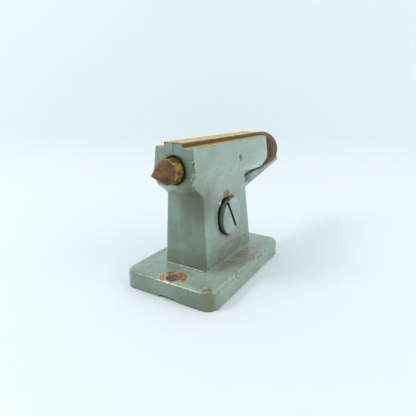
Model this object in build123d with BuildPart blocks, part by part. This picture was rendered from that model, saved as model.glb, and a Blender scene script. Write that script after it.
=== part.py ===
from build123d import *
import math
import os

os.makedirs("parts", exist_ok=True)

# A small tailstock with a spring-loaded dead centre, in millimetres. The origin is the middle of the
# base's underside, +Z is up, +Y points to the rear and the centre's point looks along -Y.

# Base
base_width = 87.6
base_length = 139.7
base_thickness = 15.9
base_corner_radius = 11.0
base_edge_radius = 3.5
tenon_slot_width = 16.8
tenon_slot_depth = 2.0
bolt_hole_radius = 4.9
bolt_spacing = 123.2
tenon_offset = 2.0

# Column, tapering from its foot to its top, and the hollow cored out of it
column_foot_width = 42.9
column_foot_front = -40.7
column_foot_rear = 46.5
column_top_width = 33.4
column_top_front = -42.0
column_top_rear = 36.0
column_top_height = 94.0
column_corner_radius = 2.8
column_foot_fillet = 2.6
cavity_width = 22.0
cavity_front = -31.0
cavity_rear = 28.0
cavity_height = 80.0
cavity_corner_radius = 4.0
lever_slot_width = 10.0
lever_slot_bottom = 47.0
lever_slot_top = 79.0
lever_slot_corner_radius = 4.0
arm_slot_width = 8.0
arm_slot_front = -8.0
arm_slot_rear = 18.0

# Head and its machined rail
axis_height = 101.6
head_front = -55.0
head_rear = 86.0
head_side_radius = 19.25
ledge_height = 119.0
ledge_width = 34.0
rail_top_width = 18.2
rail_foot_width = 16.4
rail_top_height = 122.6
nose_width = 35.2
nose_corner_radius = 1.5
nose_top_height = 96.0
nose_front_height = 90.0
nose_foot_height = 80.3
nose_rear = -37.0
boss_radius = 18.8
boss_rear = 97.0

# Quill, centre and their fits
fit_clearance = 0.05
body_clearance = 0.3
chamfer_length = 0.6
quill_radius = 10.6
bore_radius = quill_radius + fit_clearance
quill_front = -54.2
quill_rear = 46.0
quill_travel = 10.0
taper_mouth_radius = 6.03
taper_per_length = 0.02494
taper_length = 42.0
socket_length = 44.0
land_radius = 9.7
land_front = -65.0
cone_half_angle = math.radians(30.0)
cone_tip_radius = 0.4

# Lever and its pivot
pivot_y = -1.5
pivot_height = 55.5
arm_nose_height = 93.8
arm_nose_radius = 4.0
arm_neck_radius = 2.8
arm_foot_radius = 6.0
lever_half_thickness = 3.0
hub_radius = 11.0
hub_half_length = 5.7
lever_bush_radius = 8.5
handle_end = 163.0
handle_start = (pivot_y, pivot_height - 2.0)
handle_underside = ((40.0, 60.3), (handle_end, 83.4))
handle_upper_side = (
    (handle_end, 89.6),
    (139.0, 86.0),
    (119.0, 80.9),
    (95.0, 80.2),
    (40.0, 76.0),
    (pivot_y, 66.0),
)
handle_corner_radius = 2.4
spacer_radius = 10.0
shank_radius = 6.0
thread_radius = 5.2
thread_end = -17.4
screw_head_radius = 16.3
screw_head_seat = 17.0
screw_head_face = 24.0
screw_rim_fillet = 1.0
screw_slot_width = 2.9
screw_slot_depth = 2.2
screw_slot_angle = math.radians(-56.5)
spot_face_radius = 17.1

# Spring and its adjustment
spring_radius = 7.6
spring_wire_radius = 0.9
spring_turns = 6.5
seat_front = 74.0
seat_rear = 80.0
seat_radius = 10.3
spigot_radius = 6.2
spigot_length = 4.0
spindle_radius = 4.0
spindle_front = 66.0
spindle_rear = 110.0
collar_radius = 9.0
collar_front = 84.0
collar_rear = 86.8
cap_radius = 19.4
cap_front = boss_rear + body_clearance
cap_rear = 118.0
cap_front_chamfer = 1.0
cap_rear_chamfer = 2.6
cap_groove_depth = 0.7
cap_groove_width = 1.2
cap_grooves = (cap_front + 4.0, cap_rear - 6.0)
cap_recess_radius = 6.6
cap_recess_depth = 4.5
cap_screw_radius = 2.5
cap_screw_head_radius = 5.0
cap_screw_head_length = 3.0
cap_screw_length = 12.0
cap_screw_slot_width = 1.2
cap_screw_slot_depth = 1.4
cap_washer_radius = 6.0
cap_washer_thickness = 1.0

# Key screws, one in each side of the head
key_screw_radius = 2.1
key_tip_radius = 1.4
key_tip_length = 3.2
key_screw_inner_end = 11.25
key_screw_outer_end = 18.8
key_screw_slot_width = 0.6
key_screw_slot_depth = 1.0
key_places = ((1, 22.0, 104.0), (-1, 77.0, axis_height))
keyway_half_width = key_tip_radius + 0.1
keyway_floor = 7.6

nose_slope = (nose_front_height - nose_foot_height) / (column_top_front - head_front)
quill_axis = Axis((0, 0, axis_height), (0, 1, 0))
side_plane = Plane(origin=(0, pivot_y, pivot_height), x_dir=(0, 1, 0), z_dir=(1, 0, 0))


def across(y):
    """The upright plane that crosses the tailstock at y. Its normal looks to the front."""
    return Plane.XZ.offset(-y)


def half_section(*outline):
    """A face with the (y, radius) points of a turned piece's half outline, on the quill's axis."""
    with BuildSketch(Plane.YZ) as section:
        with BuildLine():
            Polyline(*[(y, axis_height + radius) for y, radius in outline], close=True)
        make_face()
    return section.sketch


def round_face(radius, start, plane=side_plane):
    """A round face of that radius, at start along the plane's normal."""
    with BuildSketch(plane.offset(start)) as section:
        Circle(radius)
    return section.sketch


def box_face(plane, low, high, corner_radius=0):
    """A rectangle on a plane between two corners, its own corners rounded where asked."""
    with BuildSketch(plane) as section:
        with Locations(((low[0] + high[0]) / 2, (low[1] + high[1]) / 2)):
            if corner_radius:
                RectangleRounded(high[0] - low[0], high[1] - low[1], corner_radius)
            else:
                Rectangle(high[0] - low[0], high[1] - low[1])
    return section.sketch


def key_plane(side, y, z):
    """The plane of a key screw's axis, its normal looking out of the head's right or left side."""
    return Plane(origin=(0, y, z), x_dir=(0, side, 0), z_dir=(side, 0, 0))


def finish_piece(piece, name):
    """Labels a piece and writes it."""
    piece.part.label = name
    export_step(piece.part, f"parts/{name}.step")


# The casting. The head and its nose come first, then the base, the column and the machined bores.
with BuildPart() as tailstock_body:
    with BuildSketch(across(head_front)):
        with BuildLine():
            ledge = Line((-ledge_width / 2, ledge_height), (ledge_width / 2, ledge_height))
            right_side = Line(ledge @ 1, (head_side_radius, axis_height))
            underside = ThreePointArc(
                right_side @ 1,
                (0, axis_height - head_side_radius),
                (-head_side_radius, axis_height),
            )
            Line(underside @ 1, ledge @ 0)
        make_face()
        with BuildLine():
            Polyline(
                (-rail_foot_width / 2, ledge_height - 1),
                (rail_foot_width / 2, ledge_height - 1),
                (rail_foot_width / 2, ledge_height),
                (rail_top_width / 2, rail_top_height),
                (-rail_top_width / 2, rail_top_height),
                (-rail_foot_width / 2, ledge_height),
                close=True,
            )
        make_face()
    extrude(amount=head_front - head_rear)
    revolve(
        half_section(
            (head_rear - 1, 0),
            (head_rear - 1, boss_radius),
            (boss_rear, boss_radius),
            (boss_rear, 0),
        ),
        axis=quill_axis,
    )
    nose_side = box_face(
        Plane.XY.offset(nose_foot_height),
        (-nose_width / 2, head_front),
        (nose_width / 2, nose_rear),
        nose_corner_radius,
    )
    extrude(nose_side, amount=nose_top_height - nose_foot_height)
    with BuildSketch(Plane.YZ):
        with BuildLine():
            Polyline(
                (head_front - 1, nose_front_height + nose_slope),
                (column_top_front, nose_foot_height),
                (column_top_front, nose_foot_height - 1),
                (head_front - 1, nose_foot_height - 1),
                close=True,
            )
        make_face()
    extrude(amount=base_width / 2, both=True, mode=Mode.SUBTRACT)

    with BuildSketch():
        RectangleRounded(base_width, base_length, base_corner_radius)
    extrude(amount=base_thickness)
    base_top_edges = tailstock_body.edges().filter_by_position(
        Axis.Z, base_thickness - 0.1, base_thickness + 0.1
    )
    fillet(base_top_edges, base_edge_radius)

    with BuildSketch(Plane.XY.offset(base_thickness)):
        with Locations((0, (column_foot_front + column_foot_rear) / 2)):
            RectangleRounded(column_foot_width, column_foot_rear - column_foot_front, column_corner_radius)
    with BuildSketch(Plane.XY.offset(column_top_height)):
        with Locations((0, (column_top_front + column_top_rear) / 2)):
            RectangleRounded(column_top_width, column_top_rear - column_top_front, column_corner_radius)
    loft()
    foot_edges = (
        tailstock_body.edges()
        .filter_by_position(Axis.Z, base_thickness - 0.1, base_thickness + 0.1)
        .filter_by_position(Axis.X, -column_foot_width / 2 - 1, column_foot_width / 2 + 1)
        .filter_by_position(Axis.Y, column_foot_front - 1, column_foot_rear + 1)
    )
    fillet(foot_edges, column_foot_fillet)

    # The cored hollow, the slots for the lever and the machined underside
    extrude(
        box_face(
            Plane.XY,
            (-cavity_width / 2, cavity_front),
            (cavity_width / 2, cavity_rear),
            cavity_corner_radius,
        ),
        amount=cavity_height,
        mode=Mode.SUBTRACT,
    )
    extrude(
        box_face(
            Plane.XY.offset(cavity_height - 1),
            (-arm_slot_width / 2, arm_slot_front),
            (arm_slot_width / 2, arm_slot_rear),
        ),
        amount=axis_height - cavity_height,
        mode=Mode.SUBTRACT,
    )
    extrude(
        box_face(
            across(cavity_rear - 1),
            (-lever_slot_width / 2, lever_slot_bottom),
            (lever_slot_width / 2, lever_slot_top),
            lever_slot_corner_radius,
        ),
        amount=cavity_rear - column_foot_rear,
        mode=Mode.SUBTRACT,
    )
    extrude(
        box_face(
            Plane.XY,
            (tenon_offset - tenon_slot_width / 2, -base_length / 2 - 1),
            (tenon_offset + tenon_slot_width / 2, base_length / 2 + 1),
        ),
        amount=tenon_slot_depth,
        mode=Mode.SUBTRACT,
    )
    bolt_places = [(tenon_offset, side * bolt_spacing / 2, base_thickness) for side in (-1, 1)]
    with Locations(bolt_places):
        Hole(bolt_hole_radius, depth=base_thickness)

    # The quill's bore, the pivot's holes and its spot face, and the key screws' holes
    revolve(
        half_section(
            (head_front - 1, 0),
            (head_front - 1, bore_radius),
            (boss_rear + 1, bore_radius),
            (boss_rear + 1, 0),
        ),
        axis=quill_axis,
        mode=Mode.SUBTRACT,
    )
    extrude(round_face(shank_radius + fit_clearance, 0), amount=base_width / 2, mode=Mode.SUBTRACT)
    extrude(round_face(spot_face_radius, screw_head_seat), amount=base_width / 2, mode=Mode.SUBTRACT)
    extrude(round_face(thread_radius, 0), amount=-base_width / 2, mode=Mode.SUBTRACT)
    for side, y, z in key_places:
        extrude(
            round_face(key_screw_radius, 0, key_plane(side, y, z)),
            amount=base_width / 2,
            mode=Mode.SUBTRACT,
        )
finish_piece(tailstock_body, "tailstock_body")

# The sliding quill, with a tapered socket, a cross slot for the lever's nose and a keyway
with BuildPart() as quill:
    socket_end_radius = taper_mouth_radius - taper_per_length * socket_length
    revolve(
        half_section(
            (quill_front, taper_mouth_radius),
            (quill_front, quill_radius - chamfer_length),
            (quill_front + chamfer_length, quill_radius),
            (quill_rear - chamfer_length, quill_radius),
            (quill_rear, quill_radius - chamfer_length),
            (quill_rear, 0),
            (quill_front + socket_length, 0),
            (quill_front + socket_length, socket_end_radius),
        ),
        axis=quill_axis,
    )
    nose_gap = arm_nose_radius + body_clearance
    extrude(
        box_face(
            Plane.YZ,
            (pivot_y - nose_gap, axis_height - quill_radius - 1),
            (pivot_y + nose_gap, arm_nose_height + nose_gap),
        ),
        amount=arm_slot_width / 2,
        both=True,
        mode=Mode.SUBTRACT,
    )
    key_side, key_y, key_z = key_places[0]
    extrude(
        box_face(
            Plane.YZ.offset(keyway_floor),
            (key_y - quill_travel - keyway_half_width, key_z - keyway_half_width),
            (key_y + keyway_half_width, key_z + keyway_half_width),
        ),
        amount=quill_radius,
        mode=Mode.SUBTRACT,
    )
finish_piece(quill, "quill")

# The dead centre: a 60 degree cone, its land and a tapered shank
with BuildPart() as dead_centre:
    cone_length = (land_radius - cone_tip_radius) / math.tan(cone_half_angle)
    shank_front = quill_front - body_clearance
    revolve(
        half_section(
            (land_front - cone_length, 0),
            (land_front - cone_length, cone_tip_radius),
            (land_front, land_radius),
            (shank_front - chamfer_length, land_radius),
            (shank_front, land_radius - chamfer_length),
            (shank_front, taper_mouth_radius),
            (quill_front, taper_mouth_radius),
            (quill_front + taper_length, taper_mouth_radius - taper_per_length * taper_length),
            (quill_front + taper_length, 0),
        ),
        axis=quill_axis,
    )
finish_piece(dead_centre, "dead_centre")

# The spring between the quill and the spring seat
with BuildPart() as quill_spring:
    spring_height = seat_front - quill_rear - 2 * spring_wire_radius
    with BuildLine():
        coil = Helix(
            pitch=spring_height / spring_turns,
            height=spring_height,
            radius=spring_radius,
            center=(0, quill_rear + spring_wire_radius, axis_height),
            direction=(0, 1, 0),
        )
    with BuildSketch(Plane(origin=coil @ 0, z_dir=coil % 0)):
        Circle(spring_wire_radius)
    sweep()
finish_piece(quill_spring, "quill_spring")

# The spring seat, a nut that a key screw stops from turning
with BuildPart() as spring_seat:
    revolve(
        half_section(
            (seat_front - spigot_length, spindle_radius + fit_clearance),
            (seat_front - spigot_length, spigot_radius),
            (seat_front, spigot_radius),
            (seat_front, seat_radius),
            (seat_rear, seat_radius),
            (seat_rear, spindle_radius + fit_clearance),
        ),
        axis=quill_axis,
    )
    extrude(
        box_face(
            Plane.YZ.offset(-keyway_floor),
            (seat_front - 1, axis_height - keyway_half_width),
            (seat_rear + 1, axis_height + keyway_half_width),
        ),
        amount=-quill_radius,
        mode=Mode.SUBTRACT,
    )
finish_piece(spring_seat, "spring_seat")

# The spindle that the rear cap turns, with a collar that bears on the rear bush
with BuildPart() as adjusting_screw:
    revolve(
        half_section(
            (spindle_front, 0),
            (spindle_front, spindle_radius - chamfer_length),
            (spindle_front + chamfer_length, spindle_radius),
            (collar_front, spindle_radius),
            (collar_front, collar_radius),
            (collar_rear, collar_radius),
            (collar_rear, spindle_radius),
            (spindle_rear, spindle_radius),
            (spindle_rear, cap_screw_radius),
            (spindle_rear - cap_screw_length, cap_screw_radius),
            (spindle_rear - cap_screw_length, 0),
        ),
        axis=quill_axis,
    )
finish_piece(adjusting_screw, "adjusting_screw")

with BuildPart() as rear_bush:
    revolve(
        half_section(
            (collar_rear + body_clearance, spindle_radius + fit_clearance),
            (collar_rear + body_clearance, bore_radius),
            (boss_rear, bore_radius),
            (boss_rear, spindle_radius + fit_clearance),
        ),
        axis=quill_axis,
    )
finish_piece(rear_bush, "rear_bush")

# The rear cap, a round knob with two turned grooves and a recess for its screw
with BuildPart() as rear_cap:
    recess_floor = cap_rear - cap_recess_depth
    revolve(
        half_section(
            (cap_front, spindle_radius),
            (cap_front, cap_radius - cap_front_chamfer),
            (cap_front + cap_front_chamfer, cap_radius),
            (cap_rear - cap_rear_chamfer, cap_radius),
            (cap_rear, cap_radius - cap_rear_chamfer),
            (cap_rear, cap_recess_radius),
            (recess_floor, cap_recess_radius),
            (recess_floor, cap_screw_radius + fit_clearance),
            (spindle_rear, cap_screw_radius + fit_clearance),
            (spindle_rear, spindle_radius),
        ),
        axis=quill_axis,
    )
    for groove_start in cap_grooves:
        revolve(
            half_section(
                (groove_start, cap_radius - cap_groove_depth),
                (groove_start, cap_radius + 1),
                (groove_start + cap_groove_width, cap_radius + 1),
                (groove_start + cap_groove_width, cap_radius - cap_groove_depth),
            ),
            axis=quill_axis,
            mode=Mode.SUBTRACT,
        )
finish_piece(rear_cap, "rear_cap")

with BuildPart() as cap_washer:
    revolve(
        half_section(
            (recess_floor, cap_screw_radius + fit_clearance),
            (recess_floor, cap_washer_radius),
            (recess_floor + cap_washer_thickness, cap_washer_radius),
            (recess_floor + cap_washer_thickness, cap_screw_radius + fit_clearance),
        ),
        axis=quill_axis,
    )
finish_piece(cap_washer, "cap_washer")

# A slotted cheese-head screw that holds the cap on the spindle
with BuildPart() as cap_screw:
    head_seat = recess_floor + cap_washer_thickness
    head_top = head_seat + cap_screw_head_length
    revolve(
        half_section(
            (spindle_rear - cap_screw_length + 1, 0),
            (spindle_rear - cap_screw_length + 1, cap_screw_radius),
            (head_seat, cap_screw_radius),
            (head_seat, cap_screw_head_radius),
            (head_top - chamfer_length, cap_screw_head_radius),
            (head_top, cap_screw_head_radius - chamfer_length),
            (head_top, 0),
        ),
        axis=quill_axis,
    )
    extrude(
        box_face(
            across(head_top),
            (-cap_screw_head_radius, axis_height - cap_screw_slot_width / 2),
            (cap_screw_head_radius, axis_height + cap_screw_slot_width / 2),
        ),
        amount=cap_screw_slot_depth,
        mode=Mode.SUBTRACT,
    )
finish_piece(cap_screw, "cap_screw")

# The lever: a hub, an arm up to the quill and a flat handle to the rear
with BuildPart() as retracting_lever:
    with BuildSketch(Plane.YZ.offset(-lever_half_thickness)):
        with Locations((pivot_y, pivot_height)):
            Circle(arm_foot_radius)
        with Locations((pivot_y, arm_nose_height)):
            Circle(arm_neck_radius)
        make_hull()
        with Locations((pivot_y, arm_nose_height)):
            Circle(arm_nose_radius)
        with BuildLine():
            Polyline(handle_start, *handle_underside, *handle_upper_side, close=True)
        make_face()
    extrude(amount=2 * lever_half_thickness)
    handle_corners = (
        retracting_lever.edges()
        .filter_by(Axis.X)
        .filter_by_position(Axis.Y, handle_end - 1, handle_end + 1)
    )
    fillet(handle_corners, handle_corner_radius)
    extrude(round_face(hub_radius, 0), amount=hub_half_length, both=True)
    extrude(round_face(lever_bush_radius, 0), amount=base_width, both=True, mode=Mode.SUBTRACT)
finish_piece(retracting_lever, "retracting_lever")

with BuildPart() as lever_bush:
    extrude(round_face(lever_bush_radius, 0), amount=hub_half_length, both=True)
    extrude(
        round_face(shank_radius + fit_clearance, 0), amount=base_width, both=True, mode=Mode.SUBTRACT
    )
finish_piece(lever_bush, "lever_bush")

# Two spacers that keep the lever in the middle of the column
with BuildPart() as lever_spacers:
    for side in (1, -1):
        extrude(
            round_face(spacer_radius, side * (hub_half_length + body_clearance)),
            amount=side * (cavity_width / 2 - hub_half_length - body_clearance),
        )
    extrude(
        round_face(shank_radius + fit_clearance, 0), amount=base_width, both=True, mode=Mode.SUBTRACT
    )
finish_piece(lever_spacers, "lever_spacers")

# The pivot screw, with a large slotted head
with BuildPart() as pivot_screw:
    extrude(round_face(screw_head_radius, screw_head_seat), amount=screw_head_face - screw_head_seat)
    head_rim = pivot_screw.edges().filter_by_position(
        Axis.X, screw_head_face - 0.1, screw_head_face + 0.1
    )
    fillet(head_rim, screw_rim_fillet)
    extrude(round_face(shank_radius, -cavity_width / 2), amount=cavity_width / 2 + screw_head_seat)
    extrude(round_face(thread_radius, thread_end), amount=-thread_end - cavity_width / 2)
    slot_plane = Plane(
        origin=(screw_head_face - screw_slot_depth, pivot_y, pivot_height),
        x_dir=(0, math.cos(screw_slot_angle), math.sin(screw_slot_angle)),
        z_dir=(1, 0, 0),
    )
    extrude(
        box_face(
            slot_plane,
            (-screw_head_radius - 1, -screw_slot_width / 2),
            (screw_head_radius + 1, screw_slot_width / 2),
        ),
        amount=screw_slot_depth + 1,
        mode=Mode.SUBTRACT,
    )
finish_piece(pivot_screw, "pivot_screw")

# Two slotted screws with dog points, one in the quill's keyway and one in the spring seat's
with BuildPart() as key_screws:
    for side, y, z in key_places:
        plane = key_plane(side, y, z)
        extrude(
            round_face(key_tip_radius, key_screw_inner_end - key_tip_length, plane), amount=key_tip_length
        )
        extrude(
            round_face(key_screw_radius, key_screw_inner_end, plane),
            amount=key_screw_outer_end - key_screw_inner_end,
        )
        extrude(
            box_face(
                plane.offset(key_screw_outer_end - key_screw_slot_depth),
                (-key_screw_radius, -key_screw_slot_width / 2),
                (key_screw_radius, key_screw_slot_width / 2),
            ),
            amount=key_screw_slot_depth,
            mode=Mode.SUBTRACT,
        )
finish_piece(key_screws, "key_screws")
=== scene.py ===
import math

import bmesh
import bpy
import numpy as np
from mathutils import Euler, Matrix, Vector, noise


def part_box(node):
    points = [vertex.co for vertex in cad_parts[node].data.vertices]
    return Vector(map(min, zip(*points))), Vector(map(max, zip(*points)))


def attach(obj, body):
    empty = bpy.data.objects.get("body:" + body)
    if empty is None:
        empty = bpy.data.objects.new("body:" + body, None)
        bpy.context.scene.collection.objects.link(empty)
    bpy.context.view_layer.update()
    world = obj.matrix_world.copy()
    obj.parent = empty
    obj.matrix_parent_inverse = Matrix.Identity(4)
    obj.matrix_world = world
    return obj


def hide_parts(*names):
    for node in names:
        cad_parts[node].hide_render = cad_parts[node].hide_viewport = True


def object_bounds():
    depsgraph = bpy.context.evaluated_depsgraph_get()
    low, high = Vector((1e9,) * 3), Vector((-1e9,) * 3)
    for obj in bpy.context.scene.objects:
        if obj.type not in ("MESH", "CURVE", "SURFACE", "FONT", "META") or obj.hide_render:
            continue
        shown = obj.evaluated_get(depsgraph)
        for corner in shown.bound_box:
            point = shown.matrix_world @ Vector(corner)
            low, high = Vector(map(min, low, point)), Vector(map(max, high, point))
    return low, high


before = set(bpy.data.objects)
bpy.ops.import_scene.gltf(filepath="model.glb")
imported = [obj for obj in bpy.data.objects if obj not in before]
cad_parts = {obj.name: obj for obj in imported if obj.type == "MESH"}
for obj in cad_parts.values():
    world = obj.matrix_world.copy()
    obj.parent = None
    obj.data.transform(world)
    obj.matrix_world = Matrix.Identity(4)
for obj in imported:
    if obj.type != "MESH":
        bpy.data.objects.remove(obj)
cad_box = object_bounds()

MM = 0.001
CAMERA_PLACE = (0.1557, -0.2661, 0.1488)
CAMERA_DOWN, CAMERA_TO_RIGHT, CAMERA_ROLL = 16.3, 30.7, 0.4
POWERS = {"world": 0.64, "right": 3.5, "front_left": 4.8, "overhead": 2.2}


# ---------------------------------------------------------------- camera, stage and light

def make_camera():
    """The camera stands in front of the tailstock, to its right and a little above its axis."""
    data = bpy.data.cameras.new("camera")
    data.sensor_width = 36
    data.lens = 30.3
    camera = bpy.data.objects.new("camera", data)
    bpy.context.scene.collection.objects.link(camera)
    turn = Euler((math.radians(90 - CAMERA_DOWN), 0, math.radians(CAMERA_TO_RIGHT))).to_matrix().to_4x4()
    roll = Matrix.Rotation(math.radians(CAMERA_ROLL), 4, "Z")
    camera.matrix_world = Matrix.Translation(CAMERA_PLACE) @ turn @ roll
    bpy.context.scene.camera = camera


def make_world():
    """Even pale light from all round."""
    world = bpy.data.worlds.new("studio")
    bpy.context.scene.world = world
    world.use_nodes = True
    background = world.node_tree.nodes["Background"]
    background.inputs["Color"].default_value = (0.85, 0.917, 0.945, 1)
    background.inputs["Strength"].default_value = POWERS["world"]


def make_lamp(name, place, target, size, power):
    data = bpy.data.lights.new(name, "AREA")
    data.shape = "RECTANGLE"
    data.size, data.size_y = size
    data.energy = power
    lamp = bpy.data.objects.new(name, data)
    bpy.context.scene.collection.objects.link(lamp)
    lamp.location = place
    lamp.rotation_euler = (Vector(target) - Vector(place)).to_track_quat("-Z", "Y").to_euler()


def make_sweep():
    """A pale table top that curves up into a wall behind the object, square to the camera."""
    reach, curve, height, half_width, behind = 0.62, 0.10, 3.0, 5.0, 4.0
    bend = np.linspace(0, math.pi / 2, 13)
    profile = [(-behind, 0)]
    profile += [(reach - curve + curve * math.sin(a), curve - curve * math.cos(a)) for a in bend]
    profile += [(reach, height)]
    shape = bmesh.new()
    columns = [[shape.verts.new((side * half_width, py, pz)) for py, pz in profile] for side in (-1, 1)]
    for k in range(len(profile) - 1):
        shape.faces.new((columns[0][k], columns[1][k], columns[1][k + 1], columns[0][k + 1]))
    mesh = bpy.data.meshes.new("sweep")
    shape.to_mesh(mesh)
    shape.free()
    sweep = bpy.data.objects.new("sweep", mesh)
    bpy.context.scene.collection.objects.link(sweep)
    camera = bpy.context.scene.camera.matrix_world.translation
    sweep.location = (camera.x, camera.y, cad_box[0][2])
    sweep.rotation_euler = (0, 0, math.radians(CAMERA_TO_RIGHT))
    mesh.polygons.foreach_set("use_smooth", [True] * len(mesh.polygons))
    paint = Shader("sweep_white")
    speck = paint.noise(3, detail=2)
    paint.colour(paint.mix(speck, (0.83, 0.885, 0.905), (0.85, 0.90, 0.92)))
    paint.set(Roughness=0.7, Specular_IOR_Level=0.25)
    mesh.materials.append(paint.material)


# ---------------------------------------------------------------- materials

def srgb(*levels):
    """A colour given in 0 to 255 display levels, as the linear colour that the shader takes."""
    return tuple((level / 255) ** 2.2 for level in levels)


class Shader:
    """One material under construction. Each method adds nodes and returns the socket of its result."""

    def __init__(self, name):
        self.material = bpy.data.materials.new(name)
        self.material.use_nodes = True
        self.tree = self.material.node_tree
        self.surface = self.tree.nodes["Principled BSDF"]
        place = self.tree.nodes.new("ShaderNodeTexCoord")
        self.place = place.outputs["Object"]

    def node(self, kind, **settings):
        made = self.tree.nodes.new(kind)
        for key, value in settings.items():
            setattr(made, key, value)
        return made

    def put(self, socket, value):
        """Links a socket, or sets a number or a colour."""
        if isinstance(value, bpy.types.NodeSocket):
            self.tree.links.new(value, socket)
        elif isinstance(value, tuple) and len(value) == 3 and len(socket.default_value) == 4:
            socket.default_value = (*value, 1)
        else:
            socket.default_value = value

    def set(self, **values):
        """Sets plain numbers on the surface's own sockets."""
        for key, value in values.items():
            self.put(self.surface.inputs[key.replace("_", " ")], value)

    def colour(self, value):
        self.put(self.surface.inputs["Base Color"], value)

    def noise(self, scale, detail=4, rough=0.55, stretch=None, warp=0.0):
        made = self.node("ShaderNodeTexNoise")
        source = self.place
        if stretch:
            mapping = self.node("ShaderNodeMapping")
            self.put(mapping.inputs["Scale"], stretch)
            self.put(mapping.inputs["Vector"], self.place)
            source = mapping.outputs[0]
        self.put(made.inputs["Vector"], source)
        self.put(made.inputs["Scale"], scale)
        self.put(made.inputs["Detail"], detail)
        self.put(made.inputs["Roughness"], rough)
        self.put(made.inputs["Distortion"], warp)
        return made.outputs["Fac"]

    def turned_noise(self, scale, detail=3):
        """Noise that runs in rings about the quill's axis, as a lathe tool leaves it."""
        x, z = self.axis("X"), self.math("SUBTRACT", self.axis("Z"), AXIS_HEIGHT)
        radius = self.math("SQRT", self.plus(self.times(x, x), self.times(z, z)))
        rings = self.node("ShaderNodeCombineXYZ")
        self.put(rings.inputs["X"], radius)
        self.put(rings.inputs["Y"], self.axis("Y"))
        made = self.node("ShaderNodeTexNoise")
        self.put(made.inputs["Vector"], rings.outputs[0])
        self.put(made.inputs["Scale"], scale)
        self.put(made.inputs["Detail"], detail)
        return made.outputs["Fac"]

    def step(self, value, low, high, to_low=0.0, to_high=1.0):
        """A smooth step of a value between low and high."""
        made = self.node("ShaderNodeMapRange", interpolation_type="SMOOTHSTEP")
        self.put(made.inputs["Value"], value)
        for key, number in (("From Min", low), ("From Max", high), ("To Min", to_low), ("To Max", to_high)):
            self.put(made.inputs[key], number)
        return made.outputs[0]

    def math(self, operation, a, b=0.0):
        made = self.node("ShaderNodeMath", operation=operation)
        self.put(made.inputs[0], a)
        self.put(made.inputs[1], b)
        return made.outputs[0]

    def times(self, first, *others):
        for other in others:
            first = self.math("MULTIPLY", first, other)
        return first

    def plus(self, first, *others):
        for other in others:
            first = self.math("ADD", first, other)
        return first

    def mix(self, share, a, b):
        made = self.node("ShaderNodeMix", data_type="RGBA")
        self.put(made.inputs["Factor"], share)
        colours = [s for s in made.inputs if s.type == "RGBA"]
        self.put(colours[0], a)
        self.put(colours[1], b)
        return [s for s in made.outputs if s.type == "RGBA"][0]

    def axis(self, letter):
        made = self.node("ShaderNodeSeparateXYZ")
        self.put(made.inputs[0], self.place)
        return made.outputs[letter]

    def near(self, centre, inner, outer, squeeze=(1, 1, 1)):
        """1 within inner of a point and 0 beyond outer, in metres, with the axes squeezed."""
        shift = self.node("ShaderNodeVectorMath", operation="SUBTRACT")
        self.put(shift.inputs[0], self.place)
        self.put(shift.inputs[1], centre)
        scaled = self.node("ShaderNodeVectorMath", operation="MULTIPLY")
        self.put(scaled.inputs[0], shift.outputs[0])
        self.put(scaled.inputs[1], squeeze)
        length = self.node("ShaderNodeVectorMath", operation="LENGTH")
        self.put(length.inputs[0], scaled.outputs[0])
        return self.step(length.outputs["Value"], inner, outer, 1.0, 0.0)

    def facing(self, letter, sign=1):
        """How much the surface faces along an axis of the shared frame, 0 to 1."""
        made = self.node("ShaderNodeNewGeometry")
        split = self.node("ShaderNodeSeparateXYZ")
        self.put(split.inputs[0], made.outputs["Normal"])
        return self.step(self.math("MULTIPLY", split.outputs[letter], sign), 0.35, 0.75)

    def layer(self, name):
        """A value that the mesh carries at each vertex."""
        made = self.node("ShaderNodeAttribute", attribute_name=name)
        return made.outputs["Fac"]

    def bump(self, height, depth):
        """Roughens the surface by height times depth, in metres."""
        made = self.node("ShaderNodeBump")
        self.put(made.inputs["Height"], height)
        self.put(made.inputs["Distance"], depth)
        self.put(made.inputs["Strength"], 0.6)
        self.put(self.surface.inputs["Normal"], made.outputs[0])


PAINT = srgb(141, 160, 145)
PAINT_PALE = srgb(162, 182, 167)
PAINT_DEEP = srgb(110, 128, 110)
GRIME = srgb(62, 66, 48)
RUST = srgb(142, 100, 56)
RUST_DARK = srgb(74, 54, 36)
IRON_DARK = srgb(54, 52, 48)
PRIMER = srgb(204, 202, 176)
PAINT_GLOSS = 0.6


def add_front_runs_and_shade(m, colour, patchy):
    """Olive and dark runs down the column's front below the nose, and painted shade on every front face
    below the head.
    """
    streaks = m.noise(70, detail=4, stretch=(1.6, 1.6, 0.22))
    front = m.facing("Y", -1)
    # Front faces darker towards the right.
    right_half = m.step(m.axis("X"), -0.006, 0.016, 0.22, 0.85)
    colour = m.mix(m.times(front, right_half, 0.62), colour, srgb(86, 103, 82))
    olive = m.near((0.006, -0.046, 0.0815), 0.006, 0.026, (0.9, 0.9, 1.5))
    olive = m.times(olive, m.step(patchy, 0.22, 0.6))
    colour = m.mix(m.times(olive, 0.62), colour, srgb(128, 128, 84))
    runs = m.near((0.004, -0.042, 0.070), 0.010, 0.036, (1.0, 0.6, 0.72))
    runs = m.times(runs, m.step(streaks, 0.38, 0.60))
    colour = m.mix(m.times(runs, front, 0.55), colour, srgb(94, 100, 66))
    # A dark patch on the column's front just below the nose, right of the middle.
    dark = m.near((0.0115, -0.042, 0.0735), 0.003, 0.019, (1.0, 0.5, 0.75))
    colour = m.mix(m.times(dark, 0.75), colour, srgb(70, 82, 56))
    low = m.near((0.010, -0.041, 0.026), 0.004, 0.022, (0.8, 0.6, 1.0))
    low = m.times(low, m.step(patchy, 0.25, 0.6))
    colour = m.mix(m.times(low, front, 0.35), colour, srgb(96, 104, 78))
    # Painted shade: front faces below the head's overhang made darker, as the overhang keeps light off
    # them.
    return m.mix(m.times(front, m.step(m.axis("Z"), 0.085, 0.075), 0.22), colour, srgb(86, 102, 84))


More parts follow.
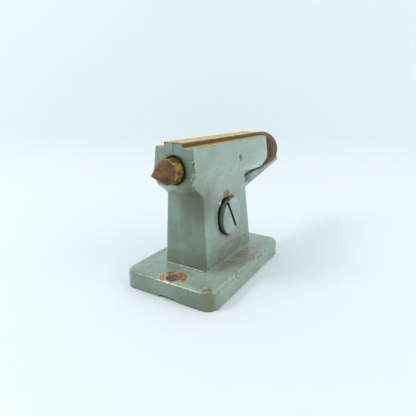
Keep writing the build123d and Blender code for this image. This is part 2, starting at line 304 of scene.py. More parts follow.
def add_nose_dirt(m, colour):
    """Dirt round the quill's bore, and the thin seam above it."""
    around_bore = m.near((0, HEAD_FRONT * MM, AXIS_HEIGHT), 0.0108, 0.0145)
    bore_dirt = m.times(around_bore, m.step(m.noise(380, detail=4, warp=0.5), 0.40, 0.56))
    colour = m.mix(m.times(bore_dirt, 0.9), colour, srgb(50, 48, 36))
    across = m.axis("X")
    seam = m.times(m.step(across, -0.0012, -0.0004), m.step(across, 0.0004, 0.0012, 1.0, 0.0))
    seam = m.times(seam, m.facing("Y", -1), m.step(m.axis("Z"), 0.1135, 0.1150))
    return m.mix(m.times(seam, 0.45), colour, srgb(70, 80, 74))


def add_base_stains(m, colour):
    """A red-brown stain on the base's right, and dirt where the column meets the base."""
    red = m.times(
        m.near((0.0275, 0.006, 0.0159), 0.016, 0.046, (2.1, 0.78, 1.2)),
        m.step(m.noise(60, detail=5, rough=0.6), 0.30, 0.58),
    )
    colour = m.mix(m.times(red, 0.72), colour, srgb(124, 98, 82))
    foot = m.times(m.step(m.axis("Z"), 0.0161, 0.0165), m.step(m.axis("Z"), 0.0205, 0.0180))
    foot_area = m.step(m.noise(40, detail=3), 0.44, 0.56)
    foot_dirt = m.times(foot, foot_area, m.step(m.noise(460, detail=3), 0.52, 0.60))
    return m.mix(m.times(foot_dirt, 0.8), colour, srgb(58, 56, 42))


def add_side_shades(m, colour, patchy):
    """Painted shade low on the right side and on the base's right face, a painted highlight on the head's
    side towards its rear, and a worn front corner.
    """
    across = m.axis("X")
    # Painted shade: the right side darker low down, near the base, where the base keeps light off it.
    low_side_shade = m.times(m.facing("X"), m.step(m.axis("Z"), 0.062, 0.018))
    colour = m.mix(m.times(low_side_shade, m.step(across, 0.030, 0.026), 0.38), colour, srgb(92, 106, 88))
    # Painted shade: the base's right face darker than its top.
    base_side_shade = m.times(m.facing("X"), m.step(across, 0.036, 0.040))
    colour = m.mix(m.times(base_side_shade, 0.30), colour, srgb(108, 124, 102))
    # Painted highlight: the head's right side paler towards its upper rear.
    rear_side_highlight = m.times(m.facing("X"), m.step(m.axis("Y"), 0.0, 0.070), m.step(m.axis("Z"), 0.084, 0.092))
    colour = m.mix(m.times(rear_side_highlight, 0.45), colour, srgb(158, 182, 174))
    corner = m.near((0.0395, -0.0655, 0.008), 0.003, 0.014, (1, 1, 0.7))
    return m.mix(m.times(corner, m.step(patchy, 0.36, 0.58), 0.6), colour, srgb(122, 116, 76))


def add_rear_edge(m, colour):
    """The head's lower edge behind the column: a worn golden line with painted shade below it."""
    line = m.plus(m.axis("Z"), m.times(m.axis("Y"), CUT_SLOPE))
    line = m.math("SUBTRACT", line, CUT_HEIGHT * MM)
    behind = m.times(m.step(m.axis("Y"), 0.0425, 0.0445), m.step(m.axis("Z"), 0.078, 0.080))
    # Painted shade below the worn line, on the head's rounded lower side.
    shade = m.times(behind, m.step(m.axis("Y"), 0.076, 0.062), m.step(line, 0.0, -0.0012))
    colour = m.mix(m.times(shade, 0.8), colour, srgb(66, 78, 78))
    edge = m.times(behind, m.step(m.axis("Y"), 0.080, 0.070), m.step(line, -0.0007, -0.0002))
    edge = m.times(edge, m.step(line, 0.0009, 0.0004), m.step(m.noise(160, detail=3), 0.34, 0.46))
    return m.mix(m.times(edge, 0.85), colour, srgb(146, 118, 66))


def add_stains_and_shade(m, colour, patchy):
    """Runs, oil and rust stains on the casting, each in its own place, painted shade and highlights on
    faces as the light falls on them, and painted shade on the underside.
    """
    colour = add_front_runs_and_shade(m, colour, patchy)
    colour = add_nose_dirt(m, colour)
    colour = add_base_stains(m, colour)
    colour = add_side_shades(m, colour, patchy)
    colour = add_rear_edge(m, colour)
    # Painted shade: faces turned down near the floor, such as the tenon slot's roof, nearly black.
    under = m.times(m.facing("Z", -1), m.step(m.axis("Z"), 0.004, 0.003))
    return m.mix(under, colour, srgb(38, 36, 30))


def add_edge_flakes(m, colour):
    """Pale and dark flakes where the paint has chipped, along the head's and the base's front corners."""
    flakes = m.noise(460, detail=3, rough=0.6)
    places = (
        ((0.0180, HEAD_FRONT * MM, 0.104), 0.0012, 0.0075, (1.6, 1.6, 0.34)),
        ((0.0180, HEAD_FRONT * MM, 0.091), 0.0016, 0.0060, (1.3, 1.2, 0.8)),
        ((0.0350, -0.0640, 0.0159), 0.0020, 0.0085, (0.8, 1.1, 1.0)),
        ((0.0430, -0.0300, 0.0145), 0.0015, 0.0060, (1.0, 0.3, 1.0)),
        ((0.0430, 0.0200, 0.0145), 0.0015, 0.0070, (1.0, 0.25, 1.0)),
    )
    for place, inner, outer, squeeze in places:
        here = m.near(place, inner, outer, squeeze)
        pale = m.step(m.plus(m.times(here, 0.18), flakes), 0.72, 0.76)
        dark = m.step(m.plus(m.times(here, -0.20), flakes), 0.285, 0.255)
        colour = m.mix(m.times(pale, 0.6), colour, srgb(196, 200, 176))
        colour = m.mix(m.times(dark, here, 0.7), colour, srgb(84, 74, 52))
    return colour


def boss_mask(m):
    """1 on the bare turned boss behind the head's painted end."""
    return m.step(m.axis("Y"), (HEAD_REAR + 0.1) * MM, (HEAD_REAR + 0.6) * MM)


def add_hole_rust(m, colour):
    """Rust and flaked paint round the two hold-down holes, where washers have turned."""
    ragged = m.noise(230, detail=5, rough=0.7)
    top = m.facing("Z")
    for hole in HOLES:
        flaked = m.step(m.plus(m.near(hole, 0.004, 0.0185, (0.92, 1, 1)), ragged), 0.90, 0.95)
        flake_colour = m.mix(m.step(m.noise(560, detail=3), 0.42, 0.58), PRIMER, srgb(140, 138, 108))
        colour = m.mix(m.times(flaked, top, 0.72), colour, flake_colour)
        ring = m.times(m.near(hole, 0.0106, 0.0118), m.step(m.noise(130, detail=4, warp=0.4), 0.44, 0.50))
        rust = m.mix(m.step(m.noise(420, detail=4), 0.36, 0.64), srgb(118, 82, 40), srgb(178, 130, 62))
        colour = m.mix(m.times(ring, top, 0.95), colour, rust)
        rim = m.times(m.near(hole, 0.0056, 0.0062), m.step(m.axis("Z"), 0.0135, 0.0150))
        colour = m.mix(m.times(rim, 0.75), colour, srgb(104, 62, 40))
        inside = m.times(m.near(hole, 0.0049, 0.0053, (1, 1, 0.1)), m.step(m.axis("Z"), 0.0150, 0.0138))
        pitted = m.mix(m.step(m.noise(620, detail=4), 0.40, 0.60), srgb(124, 126, 118), srgb(196, 196, 186))
        colour = m.mix(inside, colour, pitted)
    return colour


def add_screw_dirt_and_shade(m, colour):
    """Painted shade in the gap round the pivot screw's head, dark chips round it, a lump of rust and paint
    above it, and a painted highlight at its upper left.
    """
    centre = (0.018, PIVOT_Y, PIVOT_Z)
    right_side = m.step(m.axis("X"), 0.012, 0.014)
    # Painted shade: a black-brown ring in the gap round the screw's head.
    gap = m.times(right_side, m.near(centre, 0.0172, 0.0181, (0.4, 1, 1)))
    gap_shade = m.mix(m.noise(260, detail=3), srgb(30, 26, 18), srgb(58, 48, 32))
    colour = m.mix(m.times(gap, 0.95), colour, gap_shade)
    loose = m.times(right_side, m.near(centre, 0.0178, 0.0235, (0.4, 1, 1)), 0.42)
    chips = m.step(m.plus(loose, m.noise(420, detail=3, warp=0.4)), 0.84, 0.88)
    colour = m.mix(m.times(chips, 0.85), colour, srgb(58, 48, 34))
    above = m.near((0.0205, -0.0010, LUMP_Z), 0.0036, 0.0056, (0.5, 0.60, 1.2))
    gold = m.mix(m.step(m.noise(330, detail=4), 0.38, 0.60), srgb(84, 66, 36), srgb(158, 138, 88))
    colour = m.mix(m.times(above, 0.9), colour, gold)
    # Painted highlight: a white glint on the paint lip at the upper left of the screw's ring.
    glint = m.near((0.0195, -0.0145, 0.0685), 0.0008, 0.0028, (0.5, 1.3, 0.7))
    glint = m.times(glint, m.step(m.noise(500, detail=2), 0.36, 0.5))
    return m.mix(m.times(glint, 0.85), colour, srgb(226, 234, 226))


def add_head_wall_and_shade(m, colour):
    """The pivot screw's slot, dark brown as painted shade in the recess over rust, its olive side wall, and
    a black line of painted shade at the wall's foot.
    """
    along = m.axis("X")
    face = m.near((0.0225, PIVOT_Y, PIVOT_Z), 0.0150, 0.0154, (0.2, 1, 1))
    # Painted shade in the slot, over rust brown.
    slot = m.times(m.step(along, 0.02375, 0.02345), face)
    slot_colour = m.mix(m.noise(500, detail=3), srgb(40, 30, 18), srgb(84, 64, 38))
    colour = m.mix(slot, colour, slot_colour)
    wall = m.times(m.step(along, 0.0236, 0.0228), m.math("SUBTRACT", 1.0, face))
    streaks = m.noise(120, detail=4, stretch=(0.2, 1, 1))
    wall_colour = m.mix(m.step(streaks, 0.40, 0.60), srgb(48, 54, 34), srgb(96, 108, 80))
    colour = m.mix(m.times(wall, 0.85), colour, wall_colour)
    # Painted shade: a black line where the head's side wall meets the casting.
    foot = m.times(m.step(along, 0.0204, 0.0199), m.math("SUBTRACT", 1.0, face))
    return m.mix(m.times(foot, 0.9), colour, srgb(32, 28, 20))


def add_chips(m, colour):
    """Chips and worn edges down to rust, dark specks and pale specks. Also returns where it is bare."""
    chip_area = m.noise(38, detail=2)
    chip_shape = m.noise(420, detail=3, rough=0.6, warp=0.4)
    chips = m.times(m.step(chip_shape, 0.655, 0.67), m.step(chip_area, 0.46, 0.58))
    worn = m.step(m.plus(m.layer("wear"), m.times(m.noise(300, detail=4), 0.9)), 0.98, 1.06)
    worn = m.times(worn, m.step(m.noise(34, detail=3), 0.42, 0.60))
    bare = m.math("MAXIMUM", chips, worn)
    bare_colour = m.mix(m.step(m.noise(200, detail=4), 0.42, 0.58), RUST_DARK, RUST)
    colour = m.mix(m.times(bare, 0.85), colour, bare_colour)
    specks = m.step(m.noise(1000, detail=1), 0.735, 0.75)
    specks = m.times(specks, m.step(m.noise(60, detail=2), 0.44, 0.60))
    colour = m.mix(m.times(specks, 0.85), colour, IRON_DARK)
    pale_specks = m.step(m.noise(880, detail=2, warp=0.2), 0.735, 0.75)
    return m.mix(m.times(pale_specks, 0.6), colour, PRIMER), bare


def paint_material(name, stained_and_shaded=True):
    """Thick grey-green enamel over a rough casting: runs, grime, chips, worn edges and painted shade."""
    m = Shader(name)
    broad = m.noise(26, detail=3)
    patchy = m.noise(90, detail=5, rough=0.65, warp=0.6)
    colour = m.mix(m.step(broad, 0.36, 0.66), PAINT_DEEP, PAINT_PALE)
    colour = m.mix(m.step(m.noise(60, detail=3), 0.30, 0.70, 0.35, 0.75), colour, PAINT)
    if stained_and_shaded:
        colour = add_stains_and_shade(m, colour, patchy)
        colour = add_edge_flakes(m, colour)
    grime = m.times(m.step(m.layer("grime"), 0.12, 0.75), m.step(patchy, 0.22, 0.6))
    colour = m.mix(m.times(grime, 0.8), colour, GRIME)
    colour, bare = add_chips(m, colour)
    gloss = PAINT_GLOSS
    if stained_and_shaded:
        colour = add_hole_rust(m, colour)
        colour = add_screw_dirt_and_shade(m, colour)
        boss = boss_mask(m)
        # The bare boss in dark oily olive, darker still as painted shade in the step behind the head's
        # painted end.
        dark_and_shaded = m.mix(m.step(m.noise(110, detail=5), 0.38, 0.62), srgb(48, 42, 22), srgb(84, 74, 40))
        colour = m.mix(boss, colour, dark_and_shaded)
        bare = m.math("MAXIMUM", bare, boss)
        gloss = m.times(m.math("SUBTRACT", 1.0, boss), PAINT_GLOSS)
    else:
        colour = add_head_wall_and_shade(m, colour)
    m.put(m.surface.inputs["Coat Weight"], gloss)
    m.colour(colour)
    dull = m.plus(m.times(grime, 0.3), m.times(bare, 0.4))
    m.put(m.surface.inputs["Roughness"], m.plus(m.step(patchy, 0.2, 0.8, 0.22, 0.36), dull))
    orange_peel = m.plus(m.times(m.noise(140, detail=2), 0.7), m.times(m.noise(560, detail=3), 0.16))
    m.bump(m.plus(orange_peel, m.times(bare, -0.35)), 0.00045)
    m.set(Specular_IOR_Level=0.45, Coat_Roughness=0.08)
    return m.material


def rusty_metal(
    name, light, mid, dark, rough=(0.38, 0.62), grain=None, metal=0.55, pits=0.7, marked=0.6
):
    """Ground or turned steel under a thin uneven film of rust."""
    m = Shader(name)
    film = m.noise(70, detail=6, rough=0.62, warp=0.5)
    fine = m.noise(520, detail=4, rough=0.6)
    marks = m.noise(420, detail=3, stretch=grain) if grain else m.turned_noise(900)
    blotches = m.noise(170, detail=5, rough=0.65, warp=0.3)
    colour = m.mix(m.step(film, 0.34, 0.66), dark, mid)
    shine = m.plus(m.times(blotches, 0.82), m.times(marks, 0.18))
    colour = m.mix(m.step(shine, 0.44, 0.62, 0.0, marked), colour, light)
    pitting = m.step(fine, 0.62, 0.70)
    colour = m.mix(m.times(pitting, pits), colour, tuple(c * 0.45 for c in dark))
    colour = m.mix(m.times(m.step(m.layer("grime"), 0.10, 0.7), 0.75), colour, srgb(48, 36, 26))
    colour = m.mix(m.times(m.step(m.layer("wear"), 0.35, 0.9), 0.35), colour, light)
    m.colour(colour)
    m.set(Metallic=metal)
    m.put(m.surface.inputs["Roughness"], m.step(film, 0.25, 0.75, *rough))
    m.bump(m.plus(m.times(marks, 0.5), m.times(fine, 0.35), m.times(pitting, -0.4)), 0.00018)
    return m


def cone_material():
    """Brown rust on the cone, with a greasy yellow band on its land."""
    m = rusty_metal(
        "rusty_centre",
        srgb(148, 116, 70),
        srgb(116, 82, 46),
        srgb(84, 56, 32),
        metal=0.35,
        pits=0.45,
        marked=0.38,
    )
    base = m.surface.inputs["Base Color"].links[0].from_socket
    along = m.axis("Y")
    land = m.times(m.step(along, -0.0660, -0.0648), m.step(along, -0.0560, -0.0548, 1.0, 0.0))
    grease = m.step(m.noise(190, detail=4, warp=0.9), 0.44, 0.56)
    colour = m.mix(m.times(land, 0.6), base, srgb(78, 62, 40))
    colour = m.mix(m.times(grease, land, 0.85), colour, srgb(178, 146, 62))
    rim = m.times(m.step(along, -0.0578, -0.0556), 0.75)
    colour = m.mix(rim, colour, srgb(58, 48, 34))
    m.colour(colour)
    return m.material


def rail_material():
    """Golden-brown ground rail with painted shade down its undercut sides, and rust along the ledges' outer
    edges.
    """
    m = rusty_metal(
        "rail_rust",
        srgb(218, 198, 142),
        srgb(190, 160, 100),
        srgb(142, 114, 66),
        grain=(4, 0.35, 4),
        metal=0.25,
        pits=0.6,
        marked=0.75,
    )
    base = m.surface.inputs["Base Color"].links[0].from_socket
    # Painted shade: the rail's undercut sides a darker brown.
    side = m.math("MAXIMUM", m.facing("X"), m.facing("X", -1))
    side_shade_colour = m.mix(m.noise(120, detail=4), srgb(84, 68, 42), srgb(128, 104, 62))
    colour = m.mix(m.times(side, 0.85), base, side_shade_colour)
    height = m.axis("Z")
    ledge = m.step(height, 0.1196, 0.1192)
    ledge_colour = m.mix(m.noise(160, detail=5), srgb(158, 132, 84), srgb(218, 188, 130))
    colour = m.mix(m.times(ledge, 0.85), colour, ledge_colour)
    m.colour(colour)
    return m.material


def lever_material():
    """Grey paint, worn to brown steel along the lever's edges and where it is held, with painted shade on
    its top and below the head's rear edge.
    """
    m = Shader("lever_paint")
    patchy = m.noise(70, detail=5, warp=0.5)
    colour = m.mix(m.step(patchy, 0.35, 0.65), srgb(132, 144, 136), srgb(176, 188, 180))
    by_column = m.step(m.axis("Y"), 0.085, 0.060)
    worn = m.plus(m.times(m.layer("wear"), 0.5), m.times(by_column, 0.34))
    worn = m.step(m.plus(worn, m.times(m.noise(260, detail=5), 1.1)), 0.76, 0.90)
    brown = m.mix(m.step(m.noise(420, detail=4), 0.38, 0.62), srgb(76, 64, 34), srgb(168, 144, 78))
    colour = m.mix(m.times(worn, 0.9), colour, brown)
    # Painted shade: the lever's top near the column, under the head, darker blue-grey.
    shaded = m.times(m.facing("Z"), m.step(m.axis("Y"), 0.125, 0.105))
    colour = m.mix(m.times(shaded, 0.7), colour, srgb(84, 92, 92))
    # Painted shade: a dark blue-grey zone on the lever's side just below the head's rear edge.
    dark_and_shaded = m.times(m.facing("X"), m.step(m.axis("Y"), 0.092, 0.066))
    dark_and_shaded = m.times(dark_and_shaded, m.step(m.axis("Z"), 0.0690, 0.0735))
    colour = m.mix(m.times(dark_and_shaded, 0.85), colour, srgb(54, 62, 64))
    low = m.times(m.facing("X"), m.step(m.axis("Y"), 0.090, 0.110))
    colour = m.mix(m.times(low, 0.35), colour, srgb(120, 136, 132))
    colour = m.mix(m.times(m.step(m.layer("grime"), 0.1, 0.7), 0.7), colour, GRIME)
    m.colour(colour)
    m.put(m.surface.inputs["Roughness"], m.plus(m.step(patchy, 0.2, 0.8, 0.30, 0.5), m.times(worn, 0.15)))
    m.bump(m.plus(m.times(m.noise(220, detail=3), 0.6), m.times(worn, -0.5)), 0.0004)
    return m.material


def plain_steel(name, colour, metal=0.9):
    shades = [tuple(c * k for c in colour) for k in (1.2, 1.0, 0.72)]
    return rusty_metal(name, *shades, rough=(0.25, 0.45), metal=metal, pits=0.3).material


# ---------------------------------------------------------------- mesh work

def new_object(name, mesh):
    made = bpy.data.objects.new(name, mesh)
    bpy.context.scene.collection.objects.link(made)
    return made


def read_points(mesh):
    points = np.empty(len(mesh.vertices) * 3)
    mesh.vertices.foreach_get("co", points)
    return points.reshape(-1, 3)


def read_normals(mesh):
    normals = np.empty(len(mesh.vertices) * 3)
    mesh.vertices.foreach_get("normal", normals)
    return normals.reshape(-1, 3)


def write_points(mesh, points):
    mesh.vertices.foreach_set("co", points.astype(np.float32).ravel())
    mesh.update()


def relax(points, edges, steps, share=0.5, weights=None):
    """Moves each point towards the middle of its neighbours, a number of times."""
    count = np.bincount(edges.ravel(), minlength=len(points))[:, None]
    pull = share if weights is None else share * weights[:, None]
    for _ in range(steps):
        total = np.empty_like(points)
        for k in range(3):
            total[:, k] = np.bincount(edges[:, 0], points[edges[:, 1], k], len(points))
            total[:, k] += np.bincount(edges[:, 1], points[edges[:, 0], k], len(points))
        points = points + pull * (total / np.maximum(count, 1) - points)
    return points


def read_edges(mesh):
    edges = np.empty(len(mesh.edges) * 2, int)
    mesh.edges.foreach_get("vertices", edges)
    return edges.reshape(-1, 2)


def add_wear_layers(obj, steps, full):
    """Stores how far each vertex stands out of, or lies below, the surface round it, in two layers."""
    mesh = obj.data
    points, edges = read_points(mesh), read_edges(mesh)
    sunk = np.einsum("ij,ij->i", relax(points, edges, steps) - points, read_normals(mesh)) / MM
    for name, amount in (("wear", -sunk / full), ("grime", sunk / full)):
        layer = mesh.attributes.new(name, "FLOAT", "POINT")
        layer.data.foreach_set("value", np.clip(amount, 0, 1).astype(np.float32))


def finish_mesh(obj, *materials, smooth=True):
    obj.data.polygons.foreach_set("use_smooth", [smooth] * len(obj.data.polygons))
    obj.data.materials.clear()
    for material in materials:
        obj.data.materials.append(material)
    obj.data.update()


def skin_of(node, name, voxel, relax_steps):
    """A copy of a CAD node's surface, rebuilt from small even faces with softened edges."""
    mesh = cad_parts[node].data.copy()
    shape = bmesh.new()
    shape.from_mesh(mesh)
    bmesh.ops.remove_doubles(shape, verts=shape.verts, dist=1e-6)
    shape.to_mesh(mesh)
    shape.free()
    for layer in list(mesh.attributes):
        if layer.name in ("wear", "grime"):
            mesh.attributes.remove(layer)
    source = new_object(name + "_source", mesh)
    remesh = source.modifiers.new("even", "REMESH")
    remesh.mode = "VOXEL"
    remesh.voxel_size = voxel * MM
    remesh.use_smooth_shade = True
    solid = bpy.data.meshes.new_from_object(source.evaluated_get(bpy.context.evaluated_depsgraph_get()))
    bpy.data.objects.remove(source)
    made = new_object(name, solid)
    write_points(solid, relax(read_points(solid), read_edges(solid), relax_steps))
    return made


def smooth_mask(value, low, high):
    t = np.clip((value - low) / (high - low), 0, 1)
    return t * t * (3 - 2 * t)


def lumps(points, scale, seed):
    """Smooth noise at each point, about -1 to 1, with features of the given size in metres."""
    shift = Vector((seed * 3.7, seed * 1.3, seed * 5.1))
    return np.array([noise.noise(Vector(p) / scale + shift) for p in points])


def lathe(name, profile, turns=120):
    """A body turned about the quill's axis, from (y, radius) points in millimetres, ends on the axis."""
    height = AXIS_HEIGHT
    shape = bmesh.new()
    rings = []
    for y, radius in profile:
        if radius < 1e-6:
            rings.append([shape.verts.new((0, y * MM, height))])
            continue
        angles = [2 * math.pi * k / turns for k in range(turns)]
        rings.append(
            [
                shape.verts.new((radius * MM * math.sin(a), y * MM, height + radius * MM * math.cos(a)))
                for a in angles
            ]
        )
    closed = len(rings[0]) > 1
    pairs = list(zip(rings, rings[1:])) + ([(rings[-1], rings[0])] if closed else [])
    for first, second in pairs:
        for k in range(turns):
            corners = [first[k % len(first)], first[(k + 1) % len(first)]]
            corners += [second[(k + 1) % len(second)], second[k % len(second)]]
            shape.faces.new(list(dict.fromkeys(corners)))
    bmesh.ops.recalc_face_normals(shape, faces=shape.faces)
    mesh = bpy.data.meshes.new(name)
    shape.to_mesh(mesh)
    shape.free()
    return new_object(name, mesh)


def rounded(outline, pitch, radius=0.35, steps=3):
    """An outline of (y, radius) points with each corner rounded and each long run divided."""
    points = [Vector(p) for p in outline]
    result = [points[0]]
    for before, corner, after in zip(points, points[1:], points[2:]):
        cut = min(radius, (before - corner).length * 0.45, (after - corner).length * 0.45)
        start = corner + (before - corner).normalized() * cut
        end = corner + (after - corner).normalized() * cut
        for k in range(steps + 1):
            t = k / steps
            result.append(start * (1 - t) ** 2 + corner * 2 * t * (1 - t) + end * t**2)
    result.append(points[-1])
    divided = [result[0]]
    for a, b in zip(result, result[1:]):
        parts = max(1, math.ceil((b - a).length / pitch))
        divided += [a.lerp(b, k / parts) for k in range(1, parts + 1)]
    return [(p.x, p.y) for p in divided]


# ---------------------------------------------------------------- sizes, some read from the CAD parts and some given, in mm

def corners(node):
    low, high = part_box(node)
    return low / MM, high / MM


body_high = corners("tailstock_body")[1]
quill_low, quill_high = corners("quill")
centre_low, centre_high = corners("dead_centre")
cap_low, cap_high = corners("rear_cap")
AXIS_HEIGHT = (quill_low.z + quill_high.z) / 2 * MM
LEDGE = 119.0
HEAD_FRONT = -55.0
HEAD_REAR = 86.0
RAIL_HALF_WIDTHS = (16.9, 8.3, 9.1)

# The middles of the base's two holes and of the pivot screw, in metres
HOLES = [(0.002, side * 0.0616, 0.0159) for side in (-1, 1)]
PIVOT_Y, PIVOT_Z = -0.0015, 0.0555

# Behind the column, the head's lower edges are cut back below CUT_HEIGHT - CUT_SLOPE * y
CUT_HEIGHT, CUT_SLOPE = 96.8, 0.15
LUMP_Z = 0.0748


# ---------------------------------------------------------------- pieces

def soften_hollow(points, edges):
    """Relaxes the hollow between the head and the column, and the slope below the nose."""
    x, y, z = (points / MM).T
    valley = smooth_mask(z, 80, 85) * (1 - smooth_mask(z, 97, 101)) * (np.abs(x) > 13)
    valley *= (1 - smooth_mask(y, 40, 44)) * smooth_mask(y, -52, -46)
    points = relax(points, edges, 30, weights=valley)
    nose = (1 - smooth_mask(y, -46, -38)) * smooth_mask(z, 74, 80)
    nose *= (1 - smooth_mask(z, 96, 100)) * (np.hypot(x, z - AXIS_HEIGHT / MM) > 12)
    return relax(points, edges, 5, weights=nose)


def cut_back_rear_edges(points):
    """Slopes the head's lower edges inwards behind the column."""
    x, y, z = (points / MM).T
    below = np.clip(CUT_HEIGHT - CUT_SLOPE * y - z, 0, 7)
    below *= smooth_mask(y, 42.5, 44.5) * (1 - smooth_mask(y, 64, 78)) * smooth_mask(z, 78, 79.5)
    points[:, 0] -= np.sign(x) * 0.8 * below * smooth_mask(np.abs(x), 11.5, 15.0) * MM


def free_to_swell(points):
    """1 on cast surfaces and 0 on machined ones: the underside, the quill's bore and the rail's bed."""
    from_axis = np.hypot(points[:, 0], points[:, 2] - AXIS_HEIGHT) / MM
    free = smooth_mask(points[:, 2] / MM, 0.2, 1.5) * smooth_mask(from_axis, 11.5, 13.5)
    free *= 1 - smooth_mask(points[:, 2] / MM, LEDGE - 1.5, LEDGE - 0.5)
    inside = (np.abs(points[:, 0]) < 0.0115) & (np.abs(points[:, 1]) < 0.0325) & (points[:, 2] < 0.0905)
    free[inside] = 0.3
    return free


def casting_swell(points):
    """The casting's unevenness in millimetres, with a lip of paint and a lump round the pivot screw."""
    swell = 0.13 * lumps(points, 0.024, 1) + 0.05 * lumps(points, 0.008, 2) + 0.03 * lumps(points, 0.003, 3)
    off_pivot = np.hypot(points[:, 1] - PIVOT_Y, points[:, 2] - PIVOT_Z) / MM
    lip = 0.45 * np.exp(-(((off_pivot - 18.6) / 0.9) ** 2)) * (0.75 + 0.5 * lumps(points, 0.006, 4))
    off_lump = np.hypot((points[:, 1] - PIVOT_Y) * 0.7, points[:, 2] - LUMP_Z) / MM
    lump = 2.4 * np.exp(-((off_lump / 3.2) ** 2))
    return np.where(points[:, 0] > 0.0155, swell + lip + lump, swell)


def make_casting():
    """The painted casting: soft cast edges and a lumpy surface, machined faces left true."""
    skin = skin_of("tailstock_body", "casting_skin", 0.7, 3)
    mesh = skin.data
    points = soften_hollow(read_points(mesh), read_edges(mesh))
    cut_back_rear_edges(points)

    # The rail is a piece of its own, so the skin stops just below the ledges
    over = (points[:, 2] / MM > LEDGE - 0.25) & (points[:, 1] / MM > HEAD_FRONT + 0.9)
    points[over, 2] = (LEDGE - 0.25) * MM
    write_points(mesh, points)

    swell = free_to_swell(points) * casting_swell(points)
    points = points + read_normals(mesh) * (swell * MM)[:, None]
    limit_low, limit_high = np.array(cad_box[0]), np.array(cad_box[1])
    write_points(mesh, np.clip(points, limit_low, limit_high))
    add_wear_layers(skin, steps=7, full=0.22)
    finish_mesh(skin, paint_material("casting_paint"))
    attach(skin, "casting")
    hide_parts("tailstock_body")


def rail_outline():
    """The rail and its two ledges seen from the front, as (x, z) points in millimetres."""
    half_ledge, half_foot, half_top = RAIL_HALF_WIDTHS
    rail_top = body_high.z
    right = [(half_ledge, LEDGE - 0.6), (half_ledge, LEDGE - 0.25), (half_ledge - 0.25, LEDGE)]
    right += [(half_foot, LEDGE), (half_top, rail_top - 0.3), (half_top - 0.3, rail_top)]
    return right + [(-px, pz) for px, pz in reversed(right)]


def rail_ring(shape, outline, py):
    """The outline's vertices at one place along the rail, with its upper and outer edges dinged."""
    ring = []
    for k, (px, pz) in enumerate(outline):
        ding = noise.noise(Vector((px * 0.4, py * 0.22, k * 2.3)))
        wear = 0.16 * max(0, ding - 0.15)
        on_edge = abs(pz - body_high.z) < 0.35 or abs(abs(px) - RAIL_HALF_WIDTHS[0]) < 0.3
        lower = wear if on_edge else 0
        ring.append(shape.verts.new(((px - math.copysign(lower, px)) * MM, py * MM, (pz - lower) * MM)))
    return ring


def make_rail():
    """The machined rail and its two ledges, one true piece from end to end, painted on its front end."""
    outline = rail_outline()
    shape = bmesh.new()
    rings = [rail_ring(shape, outline, py) for py in np.linspace(HEAD_FRONT + 0.5, HEAD_REAR, 142)]
    count = len(outline)
    for first, second in zip(rings, rings[1:]):
        for k in range(count):
            shape.faces.new((first[k], first[(k + 1) % count], second[(k + 1) % count], second[k]))
    shape.faces.new(rings[0])
    shape.faces.new(rings[-1])
    bmesh.ops.recalc_face_normals(shape, faces=shape.faces)
    mesh = bpy.data.meshes.new("machined_rail")
    shape.to_mesh(mesh)
    shape.free()
    rail = new_object("machined_rail", mesh)
    add_wear_layers(rail, steps=2, full=0.2)
    finish_mesh(rail, rail_material(), paint_material("rail_end_paint", stained_and_shaded=False), smooth=False)
    for face in rail.data.polygons:
        if face.normal.y < -0.9:
            face.material_index = 1
    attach(rail, "casting")


def make_dead_centre():
    """The hardened centre: blunted point, cone, land with a soft edge, and the tapered shank behind."""
    land_front, shoulder = -65.0, -54.5
    tip = centre_low.y
    land = centre_high.x
    outline = [(tip, 0), (tip + 0.25, 0.42), (land_front, land), (shoulder, land)]
    outline += [(shoulder, 6.0), (centre_high.y, 5.0), (centre_high.y, 0)]
    centre = lathe("centre_point", rounded(outline, pitch=1.0))
    add_wear_layers(centre, steps=3, full=0.10)
    finish_mesh(centre, cone_material())
    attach(centre, "quill")
    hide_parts("dead_centre")


def make_rear_cap():
    """The round rear cap, with a chamfered rim, two turned grooves and a recess for its screw."""
    front, rear, radius = cap_low.y, cap_high.y, cap_high.x
    recess, depth, bore, soft, chamfer = 6.6, 4.5, 2.6, 0.4, 2.6
    socket, socket_end = 4.0, 110.0
    outline = [(front, socket), (front, radius - 1.0), (front + 1.0, radius)]
    for start in (front + 4.0, rear - 6.0):
        floor = radius - 0.7
        outline += [(start, radius), (start + 0.2, floor), (start + 1.0, floor), (start + 1.2, radius)]
    outline += [(rear - chamfer, radius), (rear, radius - chamfer), (rear, recess + soft)]
    outline += [(rear - soft, recess), (rear - depth, recess), (rear - depth, bore)]
    outline += [(socket_end, bore), (socket_end, socket)]
    cap = lathe("rear_cap_turned", rounded(outline, pitch=1.2)[:-1])
    add_wear_layers(cap, steps=3, full=0.12)
    material = rusty_metal(
        "cap_rust",
        srgb(160, 116, 66),
        srgb(98, 64, 34),
        srgb(54, 38, 20),
        metal=0.2,
        pits=0.5,
        marked=0.45,
    ).material
    finish_mesh(cap, material)
    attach(cap, "cap")
    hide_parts("rear_cap")


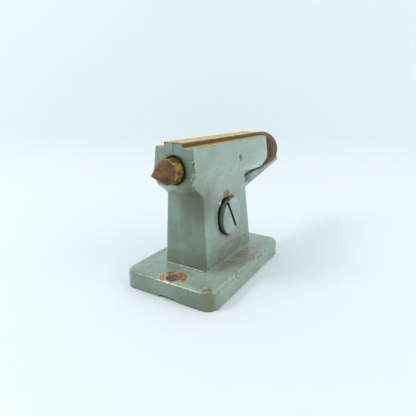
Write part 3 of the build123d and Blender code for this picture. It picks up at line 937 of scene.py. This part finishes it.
def make_lever():
    lever = skin_of("retracting_lever", "lever_plate", 0.5, 3)
    points, normals = read_points(lever.data), read_normals(lever.data)
    uneven = 0.10 * lumps(points, 0.012, 5) + 0.04 * lumps(points, 0.004, 6)
    outside = smooth_mask(points[:, 1], 0.020, 0.030)
    write_points(lever.data, points + normals * (outside * uneven * MM)[:, None])
    add_wear_layers(lever, steps=6, full=0.14)
    finish_mesh(lever, lever_material())
    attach(lever, "lever")
    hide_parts("retracting_lever")


def make_pivot_screw():
    screw = skin_of("pivot_screw", "pivot_screw_painted", 0.25, 1)
    points, normals = read_points(screw.data), read_normals(screw.data)
    on_head = smooth_mask(points[:, 0], 0.0172, 0.0180)
    uneven = 0.09 * lumps(points, 0.009, 8) + 0.04 * lumps(points, 0.003, 9)
    write_points(screw.data, points + normals * (on_head * uneven * MM)[:, None])
    add_wear_layers(screw, steps=6, full=0.14)
    finish_mesh(screw, paint_material("screw_paint", stained_and_shaded=False))
    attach(screw, "casting")
    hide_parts("pivot_screw")


def dress_inner_nodes():
    """The CAD nodes that stay: turned steel, bronze, spring wire and blackened screws."""
    steel = plain_steel("turned_steel", srgb(120, 112, 98))
    quill_dark = plain_steel("quill_oiled", srgb(74, 66, 50), metal=0.6)
    wire = plain_steel("spring_wire", srgb(70, 68, 66))
    bronze = plain_steel("bronze", srgb(176, 132, 70))
    black = plain_steel("blackened", srgb(86, 78, 64), metal=0.6)
    painted = plain_steel("painted_over", srgb(136, 134, 106), metal=0.1)
    looks = {
        steel: ("spring_seat", "adjusting_screw", "lever_spacers"),
        quill_dark: ("quill",),
        wire: ("quill_spring",),
        bronze: ("lever_bush", "rear_bush"),
        black: ("cap_screw", "cap_washer"),
        painted: ("key_screws",),
    }
    for material, nodes in looks.items():
        for node in nodes:
            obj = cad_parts[node]
            obj.data.materials.clear()
            obj.data.materials.append(material)


make_camera()
make_world()
make_sweep()
make_lamp("right", (1.0, 0.15, 0.7), (0, 0, 0.06), (0.8, 0.8), POWERS["right"])
make_lamp("front_left", (-0.6, -0.7, 0.9), (0, 0, 0.05), (0.30, 0.45), POWERS["front_left"])
make_lamp("overhead", (0.1, 0.0, 1.3), (0.05, 0, 0.05), (1.2, 1.2), POWERS["overhead"])
make_casting()
make_rail()
make_dead_centre()
make_rear_cap()
make_lever()
make_pivot_screw()
dress_inner_nodes()
bpy.context.scene.view_settings.view_transform = "Standard"
